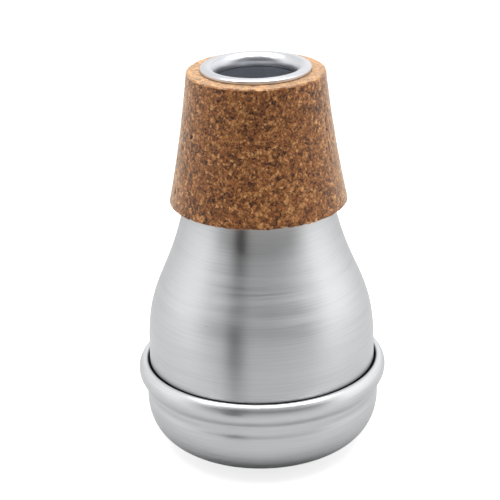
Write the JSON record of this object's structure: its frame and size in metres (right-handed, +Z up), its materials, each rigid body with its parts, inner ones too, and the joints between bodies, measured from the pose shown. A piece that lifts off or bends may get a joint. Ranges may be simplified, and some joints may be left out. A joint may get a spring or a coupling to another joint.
{
  "type": "trumpet mute",
  "caption": "Spun aluminium practice mute for a trumpet: a pear-shaped chamber with a rolled bead, a cork collar round its neck and an open throat.",
  "frame": {"origin": "centre of the foot, on the surface that the mute stands on", "axes": "+Z up along the axis that every piece is turned about, from the base to the open mouth"},
  "size_m": [0.085, 0.085, 0.1335],
  "materials": {
    "body_aluminium": "satin, brushed round the axis",
    "cap_aluminium": "satin, brushed round the axis",
    "ring_aluminium": "polished",
    "tube_aluminium": "plain drawn tube",
    "cork": "pressed cork granules, sanded, unsealed"
  },
  "bodies": {
    "root": {"base_cap": "cap_aluminium", "body_shell": "body_aluminium", "cork_sleeve": "cork", "mouth_ring": "ring_aluminium", "throat_tube": "tube_aluminium"}
  },
  "joints": []
}
